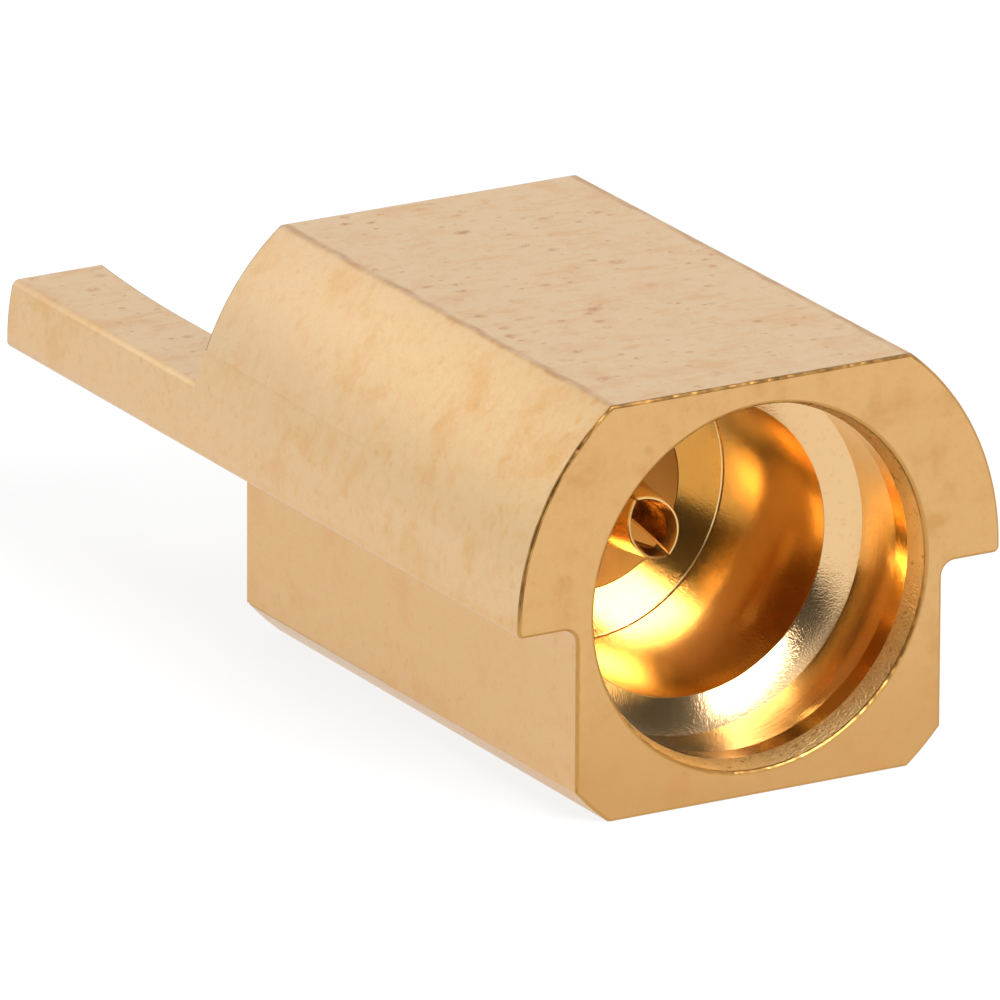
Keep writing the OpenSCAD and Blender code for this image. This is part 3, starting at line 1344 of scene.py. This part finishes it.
@dataclass
class SocketContact:
    """Centre contact: two pinched fingers on a collar, a rod and a solder tail.

    Attributes:
        socket_r: Outer radius of the fingers.
        finger_t: Wall of the fingers.
        finger_l: Length of the fingers.
        slot_w: Width of the slots before the fingers are pinched.
        tip_gap: Gap between the pinched tips.
        finger_turn: Turn of the fingers about the bore axis in degrees.
        collar_r: Radius of the collar.
        collar_y: Depth of the collar's front face.
        floor_y: Depth of the bead's front face.
        rod_r: Radius of the rod.
        body_l: Depth of the rear face.
        tail_l: Length of the solder tail.
        board_z: Height of the board plane.
        rim_t: Wall left at the finger tips.
        funnel_l: Length of the funnel inside the tips.
        drill_r: Radius of the drill point at the socket's floor.
        drill_l: Depth of that drill point.
        point_r: Radius at the bottom of that drill point.
        tip_r: Chamfer around the finger tips.
        sharp: Angle in degrees between two faces past which an edge of the rod is rounded.
        edge_r: Rounding of the rod's edges.
        edge_steps: Number of facets of that rounding.
        steps: Number of corners of each ring.
        overrun: Length by which the flat's cutter passes the tail's end.
    """

    socket_r: float = 0.325
    finger_t: float = 0.07
    finger_l: float = 0.81
    slot_w: float = 0.23
    tip_gap: float = 0.02
    finger_turn: float = 30.0
    collar_r: float = 0.34
    collar_y: float = 2.45
    floor_y: float = 2.65
    rod_r: float = 0.23
    body_l: float = 5.25
    tail_l: float = 2.0
    board_z: float = -0.065
    rim_t: float = 0.022
    funnel_l: float = 0.10
    drill_r: float = 0.2
    drill_l: float = 0.12
    point_r: float = 0.005
    tip_r: float = 0.008
    sharp: float = 40.0
    edge_r: float = 0.012
    edge_steps: int = 2
    steps: int = 96
    overrun: float = 1.0

    @property
    def tip_y(self) -> float:
        """Depth of the finger tips before they are pinched."""
        return self.collar_y - self.finger_l

    def build(self) -> bpy.types.Object:
        """Model the contact and dress it.

        Returns:
            The finished object.
        """
        piece = self.rod()
        first = self.finger()
        second = first.copy("second_finger")
        second.turn(math.pi, "Y")
        for finger in (first, second):
            finger.turn(-math.radians(self.finger_turn), "Y")
            piece.fuse(finger)
        drill = [
            (self.drill_r, self.collar_y - self.drill_l),
            (self.drill_r, self.collar_y),
            (self.point_r, self.collar_y + self.drill_l),
        ]
        piece.cut(Workpiece.turned("drill_cutter", drill, self.steps))
        piece.clean()
        # Painted shade: the socket's insides get a dark colour for the shade deep in the recess, over plating
        # that is thin there.
        socket_shade = TurnedPlating("socket_shade_plating", gold=(0.46, 0.22, 0.035), roughness=0.3)
        piece.coat([TurnedPlating("contact_plating"), socket_shade])
        piece.assign(1, self.in_socket)
        return piece.deliver("centre_contact", "contact_plating")

    def in_socket(self, centre: Vector, normal: Vector) -> bool:
        """Whether a face lies inside the socket, where little light and plating reach and the colour is
        painted shade.

        Args:
            centre: The face's centre in millimetres.
            normal: The face's normal.

        Returns:
            True for the fingers' insides, the socket's floor and its drill point.
        """
        radius = math.hypot(centre.x, centre.z)
        inward = normal.x * centre.x + normal.z * centre.z < -0.3 * radius
        deep = self.tip_y + self.funnel_l < centre.y < self.floor_y - self.edge_r
        on_floor = normal.y < -0.5 and centre.y > self.collar_y - self.edge_r
        return deep and radius < self.socket_r - self.finger_t / 2 and (inward or on_floor)

    def rod(self) -> Workpiece:
        """Turn the collar and the rod, and mill the tail's flat.

        Returns:
            The rod.
        """
        end = self.body_l + self.tail_l
        profile = [
            (self.collar_r, self.collar_y),
            (self.collar_r, self.floor_y),
            (self.rod_r, self.floor_y),
            (self.rod_r, end),
        ]
        piece = Workpiece.turned("socket_contact", profile, self.steps)
        wide = 2 * self.rod_r
        high = (wide, end + self.overrun, self.board_z)
        piece.cut(Workpiece.box("flat_cutter", (-wide, self.body_l, -wide), high))
        piece.clean()
        sharp = math.radians(self.sharp)
        piece.round_edges(lambda a, b, angle: angle > sharp, self.edge_r, self.edge_steps)
        return piece

    def finger(self) -> Workpiece:
        """Turn a cup, halve it along the slot and bend the half inward about its root.

        Returns:
            One finger.
        """
        inner = self.socket_r - self.finger_t
        root = self.collar_y + (self.floor_y - self.collar_y) / 3
        cup = [
            (self.socket_r, root),
            (self.socket_r, self.tip_y + self.tip_r),
            (self.socket_r - self.tip_r, self.tip_y),
            (self.socket_r - self.rim_t, self.tip_y),
            (inner, self.tip_y + self.funnel_l),
            (inner, self.collar_y),
        ]
        piece = Workpiece.turned("first_finger", cup, self.steps)
        piece.slice_off((self.slot_w / 2, 0, 0), (-1, 0, 0))
        piece.clean()
        pinch = math.asin((self.slot_w - self.tip_gap) / 2 / self.finger_l)
        piece.turn(-pinch, "Z", (self.socket_r, self.collar_y, 0))
        return piece


def direction(azimuth: float, elevation: float) -> Vector:
    """Direction from the jack, by angles.

    Args:
        azimuth: Degrees from the front, -Y, towards the right, +X.
        elevation: Degrees above the table.

    Returns:
        A unit vector.
    """
    a, e = math.radians(azimuth), math.radians(elevation)
    return Vector((math.sin(a) * math.cos(e), -math.cos(a) * math.cos(e), math.sin(e)))


@dataclass(frozen=True)
class SoftBox:
    """A lamp with a wide, even face.

    Attributes:
        name: Name of the lamp.
        azimuth: Degrees from the front towards the right.
        elevation: Degrees above the table.
        distance: Distance from the jack in millimetres.
        width: Width of the face in millimetres.
        height: Height of the face in millimetres.
        radiance: Radiance of the face.
    """

    name: str
    azimuth: float
    elevation: float
    distance: float
    width: float
    height: float
    radiance: float


@dataclass(frozen=True)
class DarkGap:
    """A dark part of the room, which shows in reflections.

    Attributes:
        azimuth: Degrees from the front towards the right.
        elevation: Degrees above the table.
        inner: Angle around the middle within which it is darkest, in degrees.
        outer: Angle around the middle where it ends, in degrees.
        level: Radiance in the middle.
    """

    azimuth: float
    elevation: float
    inner: float
    outer: float
    level: float

    def direction(self) -> Vector:
        """Direction of the middle."""
        return direction(self.azimuth, self.elevation)


@dataclass
class Studio:
    """White table, soft light and the camera at the photograph's angle.

    Attributes:
        table_z: Height of the table in millimetres.
        table_half: Half width of the table in millimetres.
        azimuth: Camera azimuth in degrees; 0 looks along +Y.
        elevation: Camera elevation in degrees.
        roll: Camera roll in degrees.
        aim: Point at the picture's centre in millimetres.
        distance: Distance from that point in millimetres.
        lens: Focal length in millimetres.
        sensor: Width of the sensor in millimetres.
        clip: Nearest and farthest distance that the camera sees, in metres.
        sky: Radiance of the white surroundings.
        paper: Brightness of the table's paper.
        glow: Share of even white that the camera and reflections see on the table.
        boxes: The soft boxes.
        dark_gaps: The dark parts of the room.
    """

    table_z: float
    table_half: float = 400.0
    azimuth: float = -29.946
    elevation: float = 18.665
    roll: float = 0.280
    aim: Point = (0.0, 4.0753, -0.4808)
    distance: float = 159.19
    lens: float = 720.0
    sensor: float = 36.0
    clip: tuple[float, float] = (0.01, 10.0)
    sky: float = 0.9
    paper: float = 0.9
    glow: float = 0.85
    boxes: tuple[SoftBox, ...] = (
        SoftBox("front_box", 5, 33, 120, 64, 42, 18.0),
        SoftBox("top_box", 0, 60, 120, 80, 40, 4.5),
        SoftBox("left_box", -150, 26, 140, 110, 70, 0.42),
    )
    dark_gaps: tuple[DarkGap, ...] = (
        DarkGap(-32, 12, 22, 34, 0.06),
        DarkGap(-66, 22, 24, 40, 0.06),
        DarkGap(46, 27, 14, 28, 0.08),
    )

    def build(self) -> None:
        """Set up the table, the light and the camera."""
        self.add_table()
        self.add_world()
        self.add_lamps()
        self.add_camera()
        bpy.context.scene.view_settings.view_transform = "Standard"

    def add_table(self) -> None:
        """Lay the white table under the jack."""
        deselect_everything()
        bpy.ops.mesh.primitive_plane_add(size=2 * self.table_half * MM, location=(0, 0, self.table_z * MM))
        table = bpy.context.object
        table.name = "table"
        s = Shader("white_table")
        paper = s.node("ShaderNodeBsdfDiffuse")
        paper.inputs["Color"].default_value = (self.paper, self.paper, self.paper, 1)
        glow = s.node("ShaderNodeEmission")
        glow.inputs["Strength"].default_value = 1.0
        seen = self.seen_directly(s)
        mix = s.node("ShaderNodeMixShader")
        s.link(s.times(seen, self.glow), mix.inputs["Fac"])
        s.link(paper.outputs["BSDF"], mix.inputs[1])
        s.link(glow.outputs["Emission"], mix.inputs[2])
        s.link(mix.outputs["Shader"], s.output.inputs["Surface"])
        table.data.materials.append(s.material)
        table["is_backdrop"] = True

    @staticmethod
    def seen_directly(s: Shader) -> Socket:
        """Whether the camera, or a glossy or clear surface, sees the shaded point.

        Args:
            s: The material's shader.

        Returns:
            A value socket of 0 or 1.
        """
        path = s.node("ShaderNodeLightPath")
        seen = s.math("MAXIMUM", path.outputs["Is Camera Ray"], path.outputs["Is Glossy Ray"])
        return s.math("MAXIMUM", seen, path.outputs["Is Transmission Ray"])

    def add_world(self) -> None:
        """Surround the table with an even white that is broken by the dark parts of the room."""
        world = bpy.data.worlds.new("studio")
        bpy.context.scene.world = world
        world.use_nodes = True
        tree = world.node_tree
        background = tree.nodes["Background"]
        background.inputs["Color"].default_value = (1, 1, 1, 1)
        place = tree.nodes.new("ShaderNodeTexCoord")
        level: Socket | None = None
        for gap in self.dark_gaps:
            facing = tree.nodes.new("ShaderNodeVectorMath")
            facing.operation = "DOT_PRODUCT"
            facing.inputs[1].default_value = gap.direction()
            tree.links.new(place.outputs["Generated"], facing.inputs[0])
            fade = tree.nodes.new("ShaderNodeMapRange")
            fade.interpolation_type = "SMOOTHSTEP"
            fade.inputs["From Min"].default_value = math.cos(math.radians(gap.outer))
            fade.inputs["From Max"].default_value = math.cos(math.radians(gap.inner))
            fade.inputs["To Min"].default_value = self.sky
            fade.inputs["To Max"].default_value = gap.level
            tree.links.new(facing.outputs["Value"], fade.inputs["Value"])
            if level is None:
                level = fade.outputs["Result"]
            else:
                darker = tree.nodes.new("ShaderNodeMath")
                darker.operation = "MINIMUM"
                tree.links.new(level, darker.inputs[0])
                tree.links.new(fade.outputs["Result"], darker.inputs[1])
                level = darker.outputs[0]
        tree.links.new(level, background.inputs["Strength"])

    def add_lamps(self) -> None:
        """Hang the soft boxes."""
        for box in self.boxes:
            self.soft_box(box)

    def soft_box(self, box: SoftBox) -> None:
        """Hang one soft box that faces the jack.

        Args:
            box: The soft box.
        """
        data = bpy.data.lights.new(box.name, "AREA")
        data.shape = "RECTANGLE"
        data.size, data.size_y = box.width * MM, box.height * MM
        data.energy = box.radiance * math.pi * data.size * data.size_y
        lamp = bpy.data.objects.new(box.name, data)
        bpy.context.scene.collection.objects.link(lamp)
        away = direction(box.azimuth, box.elevation)
        lamp.location = away * box.distance * MM
        lamp.rotation_euler = away.to_track_quat("Z", "Y").to_euler()
        lamp.visible_camera = False

    def add_camera(self) -> None:
        """Place the camera at the photograph's viewing angle."""
        data = bpy.data.cameras.new("camera")
        data.lens = self.lens
        data.sensor_width = self.sensor
        data.clip_start, data.clip_end = self.clip
        camera = bpy.data.objects.new("camera", data)
        bpy.context.scene.collection.objects.link(camera)
        a = math.radians(self.azimuth)
        back = direction(self.azimuth, self.elevation)
        right = Vector((math.cos(a), math.sin(a), 0))
        level = Matrix((right, back.cross(right), back)).transposed()
        turn = level @ Matrix.Rotation(math.radians(self.roll), 3, "Z")
        stand = (Vector(self.aim) + self.distance * back) * MM
        camera.matrix_world = Matrix.Translation(stand) @ turn.to_4x4()
        bpy.context.scene.camera = camera


def main() -> None:
    """Build the jack over its frame and set up the studio."""
    logging.basicConfig(level=logging.INFO, format="%(name)s: %(message)s")
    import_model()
    cad_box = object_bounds()
    for part in (JackBody(), Bead(), SocketContact()):
        piece = part.build()
        LOG.info("made %s", piece.name)
    Studio(table_z=cad_box[0].z / MM).build()


if __name__ == "__main__":
    main()
